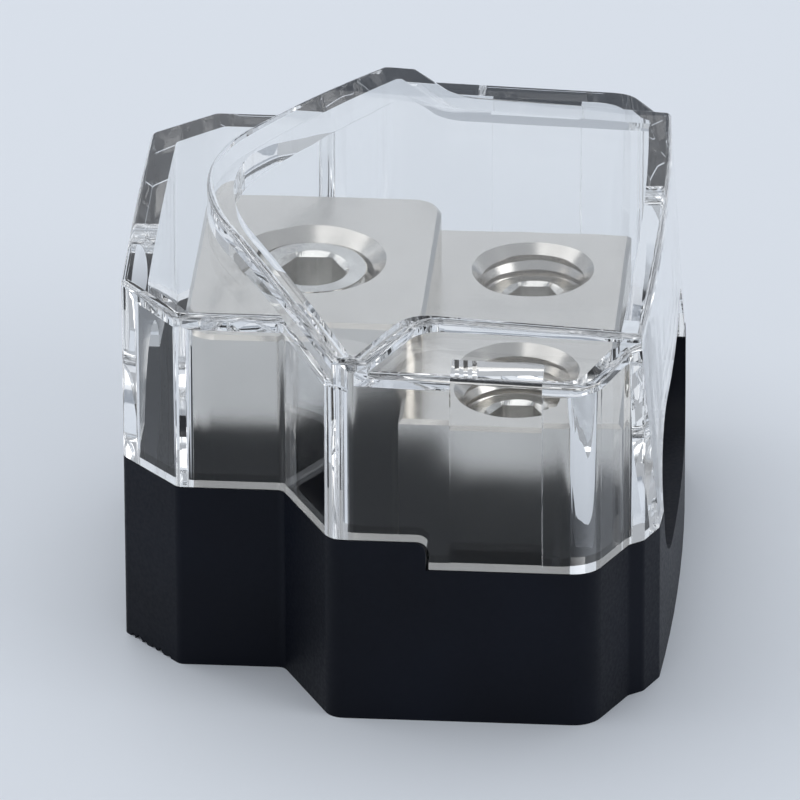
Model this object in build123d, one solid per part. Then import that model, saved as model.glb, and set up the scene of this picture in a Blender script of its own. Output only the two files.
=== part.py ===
from build123d import *
from math import radians, sin, tan
import os

# Power distribution block: one heavy cable in, two lighter cables out.
# Millimetres, +Z up. The cables run along X, the input end is at -X and the
# output end at +X. The origin is on the underside, at the middle of the body.

# Plan of the body, half of it, the same on both sides of the cable axis.
# Stations run along X from the input end, and the values named back are
# measured from the output end.
body_length = 53.2
end_bulge = 0.8
input_end_half = 16.2
neck_start = 5.8
neck_out = 6.1
neck_end = 16.0
shoulder_out = 9.8
shoulder_run = 5.3
shoulder_back = 6.8
waist_back = 3.6
waist_out = 1.0
nose_back = 2.2
nose_out = 2.9
output_end_half = 21.8
corner_round = 1.0
shoulder_round = 2.0
shoulder_end_round = 3.0

# Walls and clearances
base_wall = 2.5
base_floor = 2.5
cover_wall = 2.5
cover_end_in = 0.05
cover_end_lean = 3.8
cover_step_clearance = 0.3
cover_seat_gap = 0.12
cover_gap = 4.7
top_crown = 190.0
top_edge_round = 0.6

# Rim where the cover meets the base, higher at the input end
rim_high = 19.3
rim_step_drop = 2.95
rim_step_station = 30.5
rim_step_round = 1.2

# Terminal block: a tower for the input and a lower, wider deck for the outputs
block_input_gap = 3.3
block_output_gap = 3.6
block_bottom = 8.5
tower_length = 23.1
tower_half = 13.8
tower_top = 32.0
deck_half = 19.2
deck_lap = 1.9
deck_top = 26.3
block_corner_round = 3.0
block_edge_round = 0.4

# Cable bores
input_bore_radius = 6.25
input_bore_height = 17.0
input_bore_length = 18.4
output_bore_radius = 4.0
output_bore_height = 14.75
output_bore_offset = 10.9
bore_wall = 6.6

# Cable ports in the end walls
port_height = 17.0
input_port_radius = 8.5
output_port_radius = 7.7

# Set screws, M12 for the input and M10 for the outputs
input_screw_in = 11.2
input_screw_radius = 6.0
input_screw_length = 7.5
input_screw_depth = 0.9
input_hex = 6.0
input_flare = 1.3
output_screw_in = 9.2
output_screw_radius = 5.0
output_screw_length = 4.5
output_screw_depth = 2.65
output_hex = 5.0
output_flare = 1.0
output_hole_stop = 1.2
thread_clearance = 0.05
thread_pitch = 1.5
thread_depth = 0.5
hex_depth_share = 0.6
screw_rim_chamfer = 0.7
screw_tip_chamfer = 1.0

# Screws from below that hold the terminal block, M4
hold_offset = 8.0
hold_radius = 2.0
hold_length = 10.0
hold_head_radius = 3.8
hold_head_height = 2.6
hold_head_chamfer = 0.8
hold_hex = 3.0
hold_hex_depth = 1.4
hold_boss_wall = 1.0
hold_sink_depth = 3.2
hold_clearance = 0.2
hold_tap_extra = 1.0

# Mounting holes in the two side pockets, for M4 countersunk screws
mount_back = 18.7
mount_hole_radius = 2.1
mount_sink_radius = 4.1
mount_side_gap = 0.7
mount_pad_margin = 0.4
mount_pad_height = 1.5

# Raised arrow on the cover. Its panel falls from the tip to the output end, and
# all the top faces are crowned across the cables. The angles are in degrees.
ledge_rise = 0.9
ledge_fall = 1.8
crest_rise = 3.1
crest_fall = 3.15
arrow_tip_station = 7.0
arrow_tip_round = 22.0
arrow_arm_angle = 60.95
arrow_land = 3.3
arrow_neck_run = 4.6
arrow_shaft_in = 0.2
arrow_neck_round = 4.0

# Tongues that hold the cover in the base
tongue_back = 16.1
tongue_width = 8.8
tongue_thickness = 2.5
tongue_reach = 5.0
tongue_lap = 2.5
tongue_clearance = 0.2

# Seat ribs under the terminal block and side ribs beside it
seat_rib_thickness = 2.0
seat_rib_in = 3.6
seat_rib_inset = 2.0
side_rib_thickness = 1.6
side_rib_in = 4.4
side_rib_height = 9.5
side_rib_clearance = 0.2

# Nicks along the lower edge of the neck chamfer at -Y: place as share of the
# edge, and size
edge_nicks = ((0.13, 0.55), (0.24, 0.8), (0.36, 0.45), (0.52, 0.6), (0.64, 0.7), (0.8, 0.5))
nick_length = 2.0
nick_turn = 37.0

# Cutting solids are taller and wider than the part
above_all = 60.0
wide_over = 240.0

# Places and heights that follow from the sizes above
neck_half = input_end_half + neck_out
shoulder_half = neck_half + shoulder_out
shoulder_station = neck_end + shoulder_run
shoulder_end = body_length - shoulder_back
nose_half = output_end_half + nose_out
waist_half = nose_half + waist_out
waist_station = body_length - waist_back
nose_station = body_length - nose_back
end_station = body_length - end_bulge
end_radius = (output_end_half**2 + end_bulge**2) / (2 * end_bulge)
block_start = base_wall + block_input_gap
block_end = body_length - base_wall - block_output_gap
tower_end = block_start + tower_length
deck_start = tower_end - deck_lap
input_bore_end = block_start + input_bore_length
output_bore_start = input_bore_end + bore_wall
output_hole_bottom = output_bore_height + output_hole_stop
input_screw_station = block_start + input_screw_in
output_screw_station = block_end - output_screw_in
hold_station = input_bore_end + bore_wall / 2
mount_station = body_length - mount_back
mount_offset = deck_half + mount_side_gap + mount_sink_radius
tongue_station = body_length - tongue_back
arrow_point = arrow_tip_station - arrow_tip_round * (1 / sin(radians(arrow_arm_angle)) - 1)
arrow_shoulder = arrow_point + shoulder_half / tan(radians(arrow_arm_angle))
arrow_land_end = arrow_shoulder + arrow_land
arrow_neck_station = arrow_land_end + arrow_neck_run
arrow_shaft_half = nose_half - arrow_shaft_in
rim_low = rim_high - rim_step_drop
plate_top = tower_top + cover_gap + cover_wall
ledge_top = plate_top + ledge_rise
crest_top = plate_top + crest_rise

# How a primitive sits on its place: standing on it, hanging from it, or
# standing on it and running on towards +X
standing = (Align.CENTER, Align.CENTER, Align.MIN)
hanging = (Align.CENTER, Align.CENTER, Align.MAX)
onward = (Align.MIN, Align.CENTER, Align.MIN)


def at(station):
    """X of a station measured from the input end."""
    return station - body_length / 2


def rounded(face, station, half, radius):
    """Round the two corners of a plan face that lie nearest to a place."""
    for side in (-1, 1):
        corner = Vector(at(station), side * half, 0)
        near = face.vertices().sort_by_distance(corner)[0]
        face = fillet([near], radius=radius)
    return face


def plan(inset=0.0):
    """Outline of the body seen from above, moved inwards by inset."""
    corners = [
        (0, input_end_half, corner_round),
        (neck_start, neck_half, corner_round),
        (neck_end, neck_half, corner_round),
        (shoulder_station, shoulder_half, shoulder_round),
        (shoulder_end, shoulder_half, shoulder_end_round),
        (waist_station, waist_half, corner_round),
        (nose_station, nose_half, corner_round),
        (end_station, output_end_half, corner_round),
    ]
    front = [(at(station), -half) for station, half, radius in corners]
    back = [(x, -y) for x, y in front]
    sides = Polyline(*reversed(front)) + Line(front[0], back[0]) + Polyline(*back)
    bulge = ThreePointArc(front[-1], (at(body_length), 0), back[-1])
    face = make_face(sides.edges() + bulge.edges())
    if inset:
        face = offset(face, amount=-inset, kind=Kind.INTERSECTION)
    for station, half, radius in corners:
        face = rounded(face, station, half, radius)
    return face


def arrow(inset=0.0):
    """Outline of the raised arrow, run out past the output end."""
    tip = (at(arrow_point), 0)
    arm = [
        (at(arrow_shoulder), -shoulder_half),
        (at(arrow_land_end), -shoulder_half),
        (at(arrow_neck_station), -arrow_shaft_half),
        (at(body_length + above_all), -arrow_shaft_half),
    ]
    points = [tip] + arm + [(x, -y) for x, y in reversed(arm)]
    face = make_face(Polyline(*points, close=True).edges())
    if inset:
        face = offset(face, amount=-inset, kind=Kind.INTERSECTION)
    point = face.vertices().sort_by_distance(Vector(*tip, 0))[0]
    face = fillet([point], radius=arrow_tip_round - inset)
    return rounded(face, arrow_neck_station, arrow_shaft_half, arrow_neck_round)


def below_crown(station, height, fall):
    """Everything under a crowned face that falls towards the output end."""
    barrel = Pos(0, 0, -top_crown) * Rot(0, 90, 0) * Cylinder(top_crown, wide_over)
    return Pos(at(station), 0, height) * Rot(0, fall, 0) * barrel


def beyond(station):
    """Everything past a station."""
    return Pos(at(station), 0, 0) * Box(above_all, wide_over, above_all, align=onward)


def upright(inset):
    """Prism on the plan that stands on the low rim."""
    return Pos(0, 0, rim_low) * extrude(plan(inset), above_all)


def inside_end(inset):
    """Everything inside the cover's output end, which bulges and leans inwards."""
    foot = Pos(at(body_length - cover_end_in - inset), 0, rim_low)
    barrel = Pos(-end_radius, 0, 0) * Cylinder(end_radius, wide_over)
    return foot * Rot(0, -cover_end_lean, 0) * barrel


def softened(solid, radius):
    """Round the rim of the top face of a solid."""
    if not radius:
        return solid
    return fillet(solid.faces().sort_by(Axis.Z)[-1].edges(), radius)


def cover_form(inset, drop, radius):
    """The cover as a solid block, its sides moved in and its top lowered."""
    prism = upright(inset)
    end = inside_end(inset)
    level = softened(prism & below_crown(shoulder_station, plate_top - drop, 0), radius)
    ledge = softened(prism & below_crown(shoulder_station, ledge_top - drop, ledge_fall), radius)
    crest = below_crown(arrow_tip_station, crest_top - drop, crest_fall)
    raised = softened(prism & end & extrude(arrow(inset), above_all) & crest, radius)
    past = beyond(arrow_shoulder + arrow_land / 2)
    return (level - past) + (ledge & past & end) + raised


def rim_solid(forward, up):
    """Everything under the stepped rim, its step moved forward and its faces raised."""
    length = at(rim_step_station) + wide_over + forward
    high = Pos(-wide_over, 0, 0) * Box(length, wide_over, rim_high + up, align=onward)
    low = Pos(at(0), 0, 0) * Box(wide_over, wide_over, rim_low + up, align=onward)
    corner = high.edges().filter_by(Axis.Y).group_by(Axis.X)[-1].group_by(Axis.Z)[-1]
    return fillet(corner, rim_step_round) + low


def round_bar(station, y, z, radius, length):
    """A round bar that runs along +X from a station."""
    return Pos(at(station), y, z) * Rot(0, 90, 0) * Cylinder(radius, length, align=standing)


def ports():
    """The cable openings through both end walls, round and obround."""
    past = base_wall + cover_wall
    cut = round_bar(-past, 0, port_height, input_port_radius, past + block_start)
    start = body_length - past
    for side in (-1, 1):
        y = side * output_bore_offset
        cut += round_bar(start, y, port_height, output_port_radius, 2 * past)
    between = Box(2 * past, 2 * output_bore_offset, 2 * output_port_radius, align=onward)
    return cut + Pos(at(start), 0, port_height - output_port_radius) * between


def hexagon(width, depth):
    """A hexagonal key socket that goes down from z = 0, by its width across flats."""
    return extrude(RegularPolygon(width / 2, 6, major_radius=False), -depth)


def seat_rib(station, half):
    """Rib across the floor that carries the terminal block."""
    width = 2 * (half - seat_rib_inset)
    rib = Box(seat_rib_thickness, width, block_bottom - base_floor, align=standing)
    return Pos(at(station), 0, base_floor) * rib


def side_ribs(station, half):
    """Two ribs that keep the terminal block from shifting sideways."""
    start = half + side_rib_clearance
    length = shoulder_half - start
    ribs = Part()
    for side in (-1, 1):
        rib = Box(side_rib_thickness, length, side_rib_height, align=standing)
        ribs += Pos(at(station), side * (start + length / 2), base_floor) * rib
    return ribs


def hold_hole():
    """Stepped hole for a screw from below, its head sunk into the floor."""
    shank = Cylinder(hold_radius + hold_clearance, block_bottom, align=standing)
    return shank + Cylinder(hold_head_radius + hold_clearance, hold_sink_depth, align=standing)


def mount_hole():
    """Countersunk hole through a pad in a side pocket."""
    top = base_floor + mount_pad_height
    flare = mount_sink_radius - mount_hole_radius
    sink = Cone(mount_hole_radius, mount_sink_radius, flare, align=standing)
    return Cylinder(mount_hole_radius, top, align=standing) + Pos(0, 0, top - flare) * sink


def nicks():
    """Small chips along the lower edge of the chamfer at the input end."""
    chips = Part()
    for share, size in edge_nicks:
        x = at(neck_start * share)
        y = -input_end_half - (neck_half - input_end_half) * share
        turn = Rot(nick_turn, nick_turn * share, nick_turn)
        chips += Pos(x, y, 0) * turn * Box(nick_length * size, size, size)
    return chips


def make_base():
    """Black moulded base: an open tray with a stepped rim."""
    base = extrude(plan(), above_all) & rim_solid(0, 0)
    hollow = Pos(0, 0, base_floor) * extrude(plan(base_wall), above_all)
    base -= hollow
    base += seat_rib(block_start + seat_rib_in, tower_half)
    base += seat_rib(block_end - seat_rib_in, deck_half)
    base += hollow & side_ribs(block_start + side_rib_in, tower_half)
    base += hollow & side_ribs(block_end - side_rib_in, deck_half)
    boss = Cylinder(hold_head_radius + hold_boss_wall, block_bottom, align=standing)
    pad_radius = mount_sink_radius + mount_pad_margin
    pad = Cylinder(pad_radius, base_floor + mount_pad_height, align=standing)
    for side in (-1, 1):
        base += Pos(at(hold_station), side * hold_offset, 0) * boss
        base += Pos(at(mount_station), side * mount_offset, 0) * pad
    for side in (-1, 1):
        base -= Pos(at(hold_station), side * hold_offset, 0) * hold_hole()
        base -= Pos(at(mount_station), side * mount_offset, 0) * mount_hole()
    return base - ports() - nicks()


def make_cover():
    """Clear moulded cover, one wall thick all over, with two tongues."""
    cover = cover_form(0, 0, top_edge_round) - cover_form(cover_wall, cover_wall, 0)
    pads = Part()
    for side in (-1, 1):
        y = side * (shoulder_half - cover_wall - tongue_thickness / 2)
        pad = Box(tongue_width, tongue_thickness, above_all, align=standing)
        pads += Pos(at(tongue_station), y, 0) * pad
    cover += pads & cover_form(top_edge_round, top_edge_round, 0)
    cover -= rim_solid(cover_step_clearance, cover_seat_gap)
    depth = tongue_thickness - tongue_clearance
    for side in (-1, 1):
        y = side * (shoulder_half - base_wall - tongue_clearance - depth / 2)
        tongue = Box(tongue_width, depth, tongue_reach + tongue_lap, align=standing)
        cover += Pos(at(tongue_station), y, rim_low - tongue_reach) * tongue
    return cover - ports()


def thread_turn(radius):
    """One open thread groove round a hole, its lower edge at z = 0."""
    half = thread_pitch / 2
    lower = Cone(radius, radius + thread_depth, half, align=standing)
    upper = Cone(radius + thread_depth, radius, half, align=standing)
    return lower + Pos(0, 0, half) * upper


def screw_hole(radius, flare, top, bottom, depth):
    """Hole from a top face down to bottom, flared, with open turns above the screw."""
    bore = Cylinder(radius + thread_clearance, top - bottom, align=standing)
    hole = Pos(0, 0, bottom) * bore
    hole += Pos(0, 0, top - flare) * Cone(radius, radius + flare, flare, align=standing)
    turns = int((depth - flare) / thread_pitch + 1)
    for turn in range(turns):
        hole += Pos(0, 0, top - flare - (turn + 1) * thread_pitch) * thread_turn(radius)
    return hole


def make_block():
    """Plated block: a tall tower for the input, a lower deck for the outputs."""
    tower = Box(tower_length, 2 * tower_half, tower_top - block_bottom, align=onward)
    tower = fillet(tower.edges().filter_by(Axis.Z), block_corner_round)
    tower = chamfer(tower.faces().sort_by(Axis.Z)[-1].edges(), block_edge_round)
    deck = Box(block_end - deck_start, 2 * deck_half, deck_top - block_bottom, align=onward)
    deck = chamfer(deck.faces().sort_by(Axis.Z)[-1].edges(), block_edge_round)
    block = Pos(at(block_start), 0, block_bottom) * tower
    block += Pos(at(deck_start), 0, block_bottom) * deck
    block -= round_bar(block_start, 0, input_bore_height, input_bore_radius, input_bore_length)
    block -= Pos(at(input_screw_station), 0, 0) * screw_hole(
        input_screw_radius, input_flare, tower_top, input_bore_height, input_screw_depth
    )
    output_bore_length = block_end - output_bore_start
    tap_depth = hold_sink_depth + hold_length + hold_tap_extra - block_bottom
    tap = Cylinder(hold_radius + thread_clearance, tap_depth, align=standing)
    for side in (-1, 1):
        y = side * output_bore_offset
        block -= round_bar(
            output_bore_start, y, output_bore_height, output_bore_radius, output_bore_length
        )
        block -= Pos(at(output_screw_station), y, 0) * screw_hole(
            output_screw_radius, output_flare, deck_top, output_hole_bottom, output_screw_depth
        )
        block -= Pos(at(hold_station), side * hold_offset, block_bottom) * tap
    return block


def set_screw(radius, length, width):
    """Headless socket screw, its top face at z = 0."""
    body = Cylinder(radius, length, align=hanging)
    body = chamfer(body.edges().group_by(Axis.Z)[-1], screw_rim_chamfer)
    body = chamfer(body.edges().group_by(Axis.Z)[0], screw_tip_chamfer)
    return body - hexagon(width, length * hex_depth_share)


def input_set_screw():
    """Set screw of the input, sunk a little into the tower."""
    screw = set_screw(input_screw_radius, input_screw_length, input_hex)
    return Pos(at(input_screw_station), 0, tower_top - input_screw_depth) * screw


def output_set_screw(side):
    """Set screw of one output, sunk deeper into the deck."""
    screw = set_screw(output_screw_radius, output_screw_length, output_hex)
    height = deck_top - output_screw_depth
    return Pos(at(output_screw_station), side * output_bore_offset, height) * screw


def block_screw(side):
    """Socket pan head screw that goes up into the block, its socket facing down."""
    shank = Cylinder(hold_radius, hold_length, align=standing)
    head = Cylinder(hold_head_radius, hold_head_height, align=hanging)
    head = chamfer(head.edges().group_by(Axis.Z)[0], hold_head_chamfer)
    socket = Pos(0, 0, hold_hex_depth - hold_head_height) * hexagon(hold_hex, hold_hex_depth)
    return Pos(at(hold_station), side * hold_offset, hold_sink_depth) * (shank + head - socket)


nodes = {
    "base": make_base(),
    "cover": make_cover(),
    "terminal_block": make_block(),
    "input_set_screw": input_set_screw(),
    "output_set_screw_front": output_set_screw(-1),
    "output_set_screw_back": output_set_screw(1),
    "block_screws": Compound(children=[block_screw(-1), block_screw(1)]),
}

os.makedirs("parts", exist_ok=True)
for name, shape in nodes.items():
    export_step(shape, f"parts/{name}.step")
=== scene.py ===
import math

import bmesh
import bpy
from mathutils import Matrix, Vector


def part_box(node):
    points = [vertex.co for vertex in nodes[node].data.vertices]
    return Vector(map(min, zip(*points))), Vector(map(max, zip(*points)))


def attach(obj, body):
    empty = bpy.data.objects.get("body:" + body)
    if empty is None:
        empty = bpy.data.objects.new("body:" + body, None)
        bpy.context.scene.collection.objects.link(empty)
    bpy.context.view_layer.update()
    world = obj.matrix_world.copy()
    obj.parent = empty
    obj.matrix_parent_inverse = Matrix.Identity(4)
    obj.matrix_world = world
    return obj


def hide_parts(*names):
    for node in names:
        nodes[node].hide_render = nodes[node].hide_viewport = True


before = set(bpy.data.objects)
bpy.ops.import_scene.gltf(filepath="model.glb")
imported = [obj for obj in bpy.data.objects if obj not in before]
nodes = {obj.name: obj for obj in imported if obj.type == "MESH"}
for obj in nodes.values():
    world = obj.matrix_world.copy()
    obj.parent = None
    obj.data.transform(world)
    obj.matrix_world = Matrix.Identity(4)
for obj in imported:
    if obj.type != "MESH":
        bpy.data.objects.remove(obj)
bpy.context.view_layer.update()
scene = bpy.context.scene

# Base: one moulding in black plastic, an open tray with a stepped rim. The mould
# leaves a fine satin texture on it. It is screwed down to a panel or board
# through its floor, and carries everything else.
base_black = (0.003, 0.0042, 0.0085, 1.0)
base_dusty = (0.0045, 0.0063, 0.01275, 1.0)
base_shine = 0.14
base_roughness = (0.42, 0.56)
base_cloud_size = 60.0
base_grain_size = 2600.0
base_grain_depth = 0.00002
base_grain_strength = 0.3


def new_material(name):
    """An empty material with its node tree and its shader."""
    material = bpy.data.materials.new(name)
    material.use_nodes = True
    return material, material.node_tree, material.node_tree.nodes["Principled BSDF"]


def dress(piece, material):
    """Give a piece its material, in a single slot for all its faces."""
    piece.data.materials.clear()
    piece.data.materials.append(material)
    for face in piece.data.polygons:
        face.material_index = 0


def grain(tree, size, detail, stretch=(1.0, 1.0, 1.0)):
    """A fine noise in the material, drawn out along the axes if asked."""
    place = tree.nodes.new("ShaderNodeTexCoord")
    mapping = tree.nodes.new("ShaderNodeMapping")
    mapping.inputs["Scale"].default_value = stretch
    noise = tree.nodes.new("ShaderNodeTexNoise")
    noise.inputs["Scale"].default_value = size
    noise.inputs["Detail"].default_value = detail
    tree.links.new(place.outputs["Object"], mapping.inputs["Vector"])
    tree.links.new(mapping.outputs["Vector"], noise.inputs["Vector"])
    return noise.outputs["Fac"]


def spread(tree, value, low, high):
    """Bring the middle of a noise to a range of its own."""
    ranged = tree.nodes.new("ShaderNodeMapRange")
    ranged.inputs["From Min"].default_value = 0.3
    ranged.inputs["From Max"].default_value = 0.7
    ranged.inputs["To Min"].default_value = low
    ranged.inputs["To Max"].default_value = high
    tree.links.new(value, ranged.inputs["Value"])
    return ranged.outputs["Result"]


def blend_colours(tree, value, first, second):
    """Mix two colours by the middle of a noise."""
    ramp = tree.nodes.new("ShaderNodeValToRGB")
    ramp.color_ramp.elements[0].position = 0.35
    ramp.color_ramp.elements[0].color = first
    ramp.color_ramp.elements[1].position = 0.65
    ramp.color_ramp.elements[1].color = second
    tree.links.new(value, ramp.inputs["Fac"])
    return ramp.outputs["Color"]


def roughen(tree, shader, value, depth, strength):
    """Turn a noise into a bump on the surface."""
    bump = tree.nodes.new("ShaderNodeBump")
    bump.inputs["Strength"].default_value = strength
    bump.inputs["Distance"].default_value = depth
    tree.links.new(value, bump.inputs["Height"])
    tree.links.new(bump.outputs["Normal"], shader.inputs["Normal"])


black, tree, shader = new_material("black_moulding")
mould_grain = grain(tree, base_grain_size, 2.0)
cloudy = grain(tree, base_cloud_size, 3.0)
tree.links.new(blend_colours(tree, cloudy, base_black, base_dusty), shader.inputs["Base Color"])
tree.links.new(spread(tree, mould_grain, *base_roughness), shader.inputs["Roughness"])
shader.inputs["Specular IOR Level"].default_value = base_shine
roughen(tree, shader, mould_grain, base_grain_depth, base_grain_strength)
dress(nodes["base"], black)

# Terminal block: milled from a brass bar, then tumbled and plated with nickel.
# It stands on two ribs in the base and carries the current from the tower's
# bore to the two bores in the deck.
nickel_light = (0.73, 0.705, 0.665, 1.0)
nickel_dark = (0.69, 0.665, 0.63, 1.0)
nickel_roughness = (0.2, 0.25)
nickel_cloud_size = 110.0
mill_mark_size = 700.0
mill_mark_stretch = (0.12, 1.0, 0.12)
mill_mark_depth = 0.000004
mill_mark_strength = 0.15

nickel, tree, shader = new_material("nickel_plate")
shader.inputs["Metallic"].default_value = 1.0
soft_cloud = grain(tree, nickel_cloud_size, 2.0)
mill_marks = grain(tree, mill_mark_size, 2.0, mill_mark_stretch)
tree.links.new(blend_colours(tree, soft_cloud, nickel_dark, nickel_light), shader.inputs["Base Color"])
tree.links.new(spread(tree, mill_marks, *nickel_roughness), shader.inputs["Roughness"])
roughen(tree, shader, mill_marks, mill_mark_depth, mill_mark_strength)
dress(nodes["terminal_block"], nickel)

# Block screws: two small socket screws in zinc plated steel. They come up
# through the floor of the base, their heads sunk in it, and hold the block down.
zinc_light = (0.62, 0.63, 0.64, 1.0)
zinc_dark = (0.5, 0.51, 0.5, 1.0)
zinc_roughness = (0.26, 0.4)
zinc_cloud_size = 500.0

zinc, tree, shader = new_material("zinc_plate")
shader.inputs["Metallic"].default_value = 1.0
zinc_cloud = grain(tree, zinc_cloud_size, 3.0)
tree.links.new(blend_colours(tree, zinc_cloud, zinc_dark, zinc_light), shader.inputs["Base Color"])
tree.links.new(spread(tree, zinc_cloud, *zinc_roughness), shader.inputs["Roughness"])
dress(nodes["block_screws"], zinc)

# Set screws: headless screws turned from steel bar, with a hexagonal socket
# pressed into the top and a rolled thread. Each is screwed down through the
# block on to the cable in the bore below it.
thread_pitches = {
    "input_set_screw": 0.00175,
    "output_set_screw_front": 0.0015,
    "output_set_screw_back": 0.0015,
}
socket_widths = {
    "input_set_screw": 0.006,
    "output_set_screw_front": 0.005,
    "output_set_screw_back": 0.005,
}
thread_depth_share = 0.55
socket_depth_share = 0.6
socket_mouth = 0.0004
rim_fall = 0.00005
rim_chamfer = 0.0007
tip_chamfer = 0.001
turn_segments = 96
rings_per_pitch = 10
steel_light = (0.78, 0.77, 0.74, 1.0)
steel_dark = (0.62, 0.61, 0.59, 1.0)
steel_roughness = (0.14, 0.26)
steel_cloud_size = 300.0
tool_mark_size = 2600.0
tool_mark_stretch = (1.0, 1.0, 0.1)
tool_mark_depth = 0.00001
tool_mark_strength = 0.25


def add_ring(mesh, height, radius_at):
    """A closed ring of edges at a height, its radius given for each angle."""
    made = bmesh.ops.create_circle(mesh, segments=turn_segments, radius=1.0)
    for point in made["verts"]:
        angle = math.atan2(point.co.y, point.co.x)
        radius = radius_at(angle)
        point.co = (radius * math.cos(angle), radius * math.sin(angle), height)
    return list({edge for point in made["verts"] for edge in point.link_edges})


def hexagon_radius(width, angle):
    """Distance from the middle of a hexagon to its side, flats facing front and back."""
    turn = angle % (math.pi / 3)
    return width / 2 / math.cos(turn - math.pi / 6)


def threaded_screw(name):
    """A set screw with a real thread and a deep socket, in the place of its solid."""
    low, high = (Vector(corner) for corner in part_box(name))
    radius = (high.x - low.x) / 2
    length = high.z - low.z
    pitch = thread_pitches[name]
    width = socket_widths[name]
    depth = thread_depth_share * pitch
    mesh = bmesh.new()
    rings = []

    def thread_radius(height):
        from_tip = radius - tip_chamfer + height
        from_rim = radius - rim_chamfer + (length - height)

        def at_angle(angle):
            wave = abs((height / pitch + angle / (2 * math.pi)) % 1.0 - 0.5) * 2
            return min(radius - depth * wave, from_tip, from_rim)

        return at_angle

    count = int(length / pitch * rings_per_pitch)
    for step in range(count + 1):
        height = length * step / count
        rings.append(add_ring(mesh, height, thread_radius(height)))
    mouth = width / 2 / math.cos(math.pi / 6) + socket_mouth / 2
    rings.append(add_ring(mesh, length - rim_fall, lambda angle: mouth))
    rings.append(add_ring(mesh, length - socket_mouth, lambda angle: hexagon_radius(width, angle)))
    socket_floor = length * (1 - socket_depth_share)
    rings.append(add_ring(mesh, socket_floor, lambda angle: hexagon_radius(width, angle)))
    for lower, upper in zip(rings, rings[1:]):
        bmesh.ops.bridge_loops(mesh, edges=lower + upper)
    bmesh.ops.contextual_create(mesh, geom=rings[0])
    bmesh.ops.contextual_create(mesh, geom=rings[-1])
    centre = ((low.x + high.x) / 2, (low.y + high.y) / 2, low.z)
    bmesh.ops.translate(mesh, verts=mesh.verts, vec=centre)
    bmesh.ops.recalc_face_normals(mesh, faces=mesh.faces)
    data = bpy.data.meshes.new(name + "_threaded")
    mesh.to_mesh(data)
    mesh.free()
    piece = bpy.data.objects.new(name + "_threaded", data)
    scene.collection.objects.link(piece)
    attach(piece, name)
    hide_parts(name)
    return piece


steel, tree, shader = new_material("screw_steel")
shader.inputs["Metallic"].default_value = 1.0
steel_cloud = grain(tree, steel_cloud_size, 3.0)
tool_marks = grain(tree, tool_mark_size, 2.0, tool_mark_stretch)
tree.links.new(blend_colours(tree, steel_cloud, steel_dark, steel_light), shader.inputs["Base Color"])
tree.links.new(spread(tree, tool_marks, *steel_roughness), shader.inputs["Roughness"])
roughen(tree, shader, tool_marks, tool_mark_depth, tool_mark_strength)
for name in thread_pitches:
    dress(threaded_screw(name), steel)

# Cover: one clear moulding in polycarbonate, polished inside and outside, with a
# raised arrow on top. Two tongues push it into the base, and it lifts off.
cover_tint = (0.975, 0.982, 0.985, 1.0)
cover_shine = (0.45, 0.45, 0.45, 1.0)
cover_bend = 1.58
cover_flow_size = 120.0
cover_flow_depth = 0.0001
cover_flow_strength = 0.15

clear, tree, shader = new_material("clear_cover")
shader.inputs["Base Color"].default_value = cover_tint
shader.inputs["Specular Tint"].default_value = cover_shine
shader.inputs["IOR"].default_value = cover_bend
shader.inputs["Transmission Weight"].default_value = 1.0
shader.inputs["Roughness"].default_value = 0.0
flow_marks = grain(tree, cover_flow_size, 1.0)
roughen(tree, shader, flow_marks, cover_flow_depth, cover_flow_strength)
dress(nodes["cover"], clear)

# Floor and backdrop: one pale sheet of card. It lies flat under the object and
# curves up far behind it.
sheet_colour = (0.78, 0.82, 0.875, 1.0)
sheet_roughness = 0.9
sheet_half_width = 2.4
sheet_front = -2.4
sheet_bend_start = 2.0
sheet_bend_radius = 0.6
sheet_top = 3.0
sheet_bend_steps = 8

card = bmesh.new()
front_edge = card.verts.new((-sheet_half_width, sheet_front, 0.0))
bend_edge = card.verts.new((-sheet_half_width, sheet_bend_start, 0.0))
bend = bmesh.ops.spin(
    card,
    geom=[bend_edge],
    cent=(-sheet_half_width, sheet_bend_start, sheet_bend_radius),
    axis=(1, 0, 0),
    angle=math.radians(90),
    steps=sheet_bend_steps,
)
card.edges.new((front_edge, bend_edge))
bend_end = [point for point in bend["geom_last"] if isinstance(point, bmesh.types.BMVert)][0]
top_edge = card.verts.new((-sheet_half_width, sheet_bend_start + sheet_bend_radius, sheet_top))
card.edges.new((bend_end, top_edge))
swept = bmesh.ops.extrude_edge_only(card, edges=card.edges[:])
moved = [point for point in swept["geom"] if isinstance(point, bmesh.types.BMVert)]
bmesh.ops.translate(card, verts=moved, vec=(2 * sheet_half_width, 0, 0))
bmesh.ops.recalc_face_normals(card, faces=card.faces)
data = bpy.data.meshes.new("floor")
card.to_mesh(data)
card.free()
data.shade_smooth()
floor = bpy.data.objects.new("floor", data)
scene.collection.objects.link(floor)
pale, tree, shader = new_material("pale_card")
shader.inputs["Base Color"].default_value = sheet_colour
shader.inputs["Roughness"].default_value = sheet_roughness
data.materials.append(pale)

# Light: a soft room, a softbox above the object, a wide one behind it that shines
# on the metal's top faces, and a weak one from the right.
room_colour = (0.82, 0.86, 0.92, 1.0)
room_strength = 0.5
above_place = (-0.25, 0.2, 0.9)
above_size = (1.2, 1.2)
above_power = 5.0
behind_place = (0.0, 1.2, 0.75)
behind_aim = (0.0, 0.0, 0.04)
behind_size = (2.4, 0.9)
behind_power = 2.8
right_place = (0.8, -0.3, 0.5)
right_size = (0.5, 0.5)
right_power = 1.5

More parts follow.
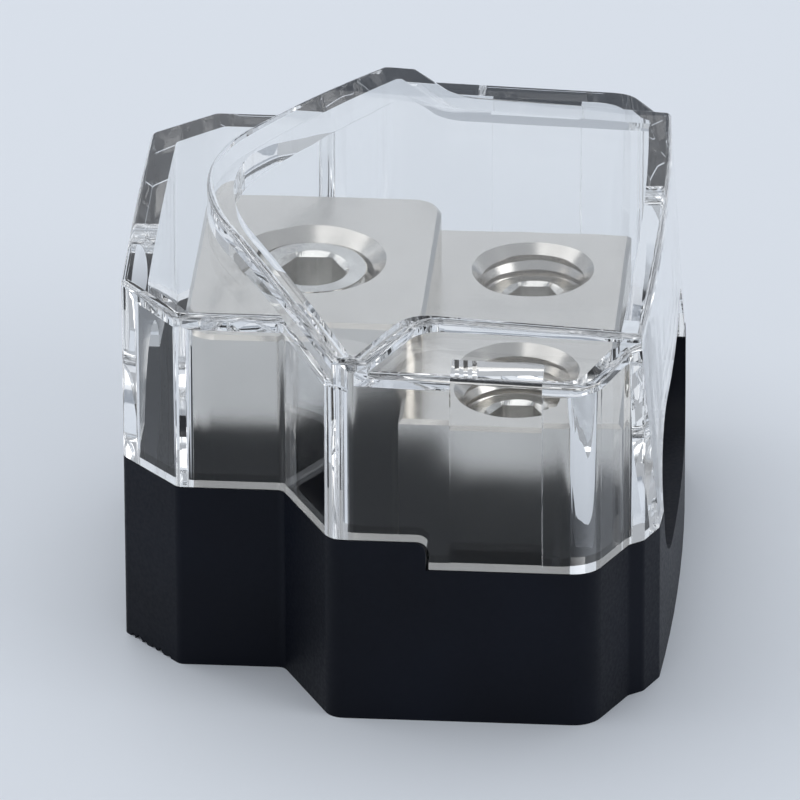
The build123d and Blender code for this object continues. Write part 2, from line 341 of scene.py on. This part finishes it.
world = bpy.data.worlds.new("studio")
scene.world = world
world.use_nodes = True
world.node_tree.nodes["Background"].inputs["Color"].default_value = room_colour
world.node_tree.nodes["Background"].inputs["Strength"].default_value = room_strength


def softbox(name, place, aim, size, power):
    """A rectangular lamp that looks at a point."""
    lamp = bpy.data.lights.new(name, "AREA")
    lamp.shape = "RECTANGLE"
    lamp.size, lamp.size_y = size
    lamp.energy = power
    thing = bpy.data.objects.new(name, lamp)
    thing.location = place
    thing.rotation_euler = (Vector(aim) - Vector(place)).to_track_quat("-Z", "Y").to_euler()
    scene.collection.objects.link(thing)


softbox("above", above_place, (0, 0, 0), above_size, above_power)
softbox("behind", behind_place, behind_aim, behind_size, behind_power)
softbox("right", right_place, (0, 0, 0), right_size, right_power)

# Camera: at the photo's place, found from the object's outline in it. The view
# is aimed a little to the side, so that the object sits where it does there.
image_side = 800.0
focal_px = 12857.0
sensor = 36.0
distance = 1.258
elevation = math.radians(27.3)
yaw = math.radians(4.4)
roll = math.radians(-0.24)
target = Vector((-0.0006, 0.0, 0.018))
offset_px = (3.7, 0.4)
far_clip = 20.0
light_paths = 40

scene.view_settings.view_transform = "Standard"
scene.cycles.max_bounces = light_paths
scene.cycles.glossy_bounces = light_paths
scene.cycles.transmission_bounces = light_paths
level = math.cos(elevation)
back = Vector((math.sin(yaw) * level, -math.cos(yaw) * level, math.sin(elevation)))
right = Vector((math.cos(yaw), math.sin(yaw), 0.0))
up = back.cross(right)
eye = target + back * distance
per_px = distance / focal_px
aim = target - right * (offset_px[0] * per_px) + up * (offset_px[1] * per_px)
back = (eye - aim).normalized()
right = Vector((0, 0, 1)).cross(back).normalized()
up = back.cross(right)
turned_right = right * math.cos(roll) + up * math.sin(roll)
turned_up = back.cross(turned_right)
lens = bpy.data.cameras.new("camera")
lens.sensor_width = sensor
lens.lens = focal_px / image_side * sensor
lens.clip_end = far_clip
camera = bpy.data.objects.new("camera", lens)
turn = Matrix((turned_right, turned_up, back)).transposed().to_4x4()
camera.matrix_world = Matrix.Translation(eye) @ turn
scene.collection.objects.link(camera)
scene.camera = camera
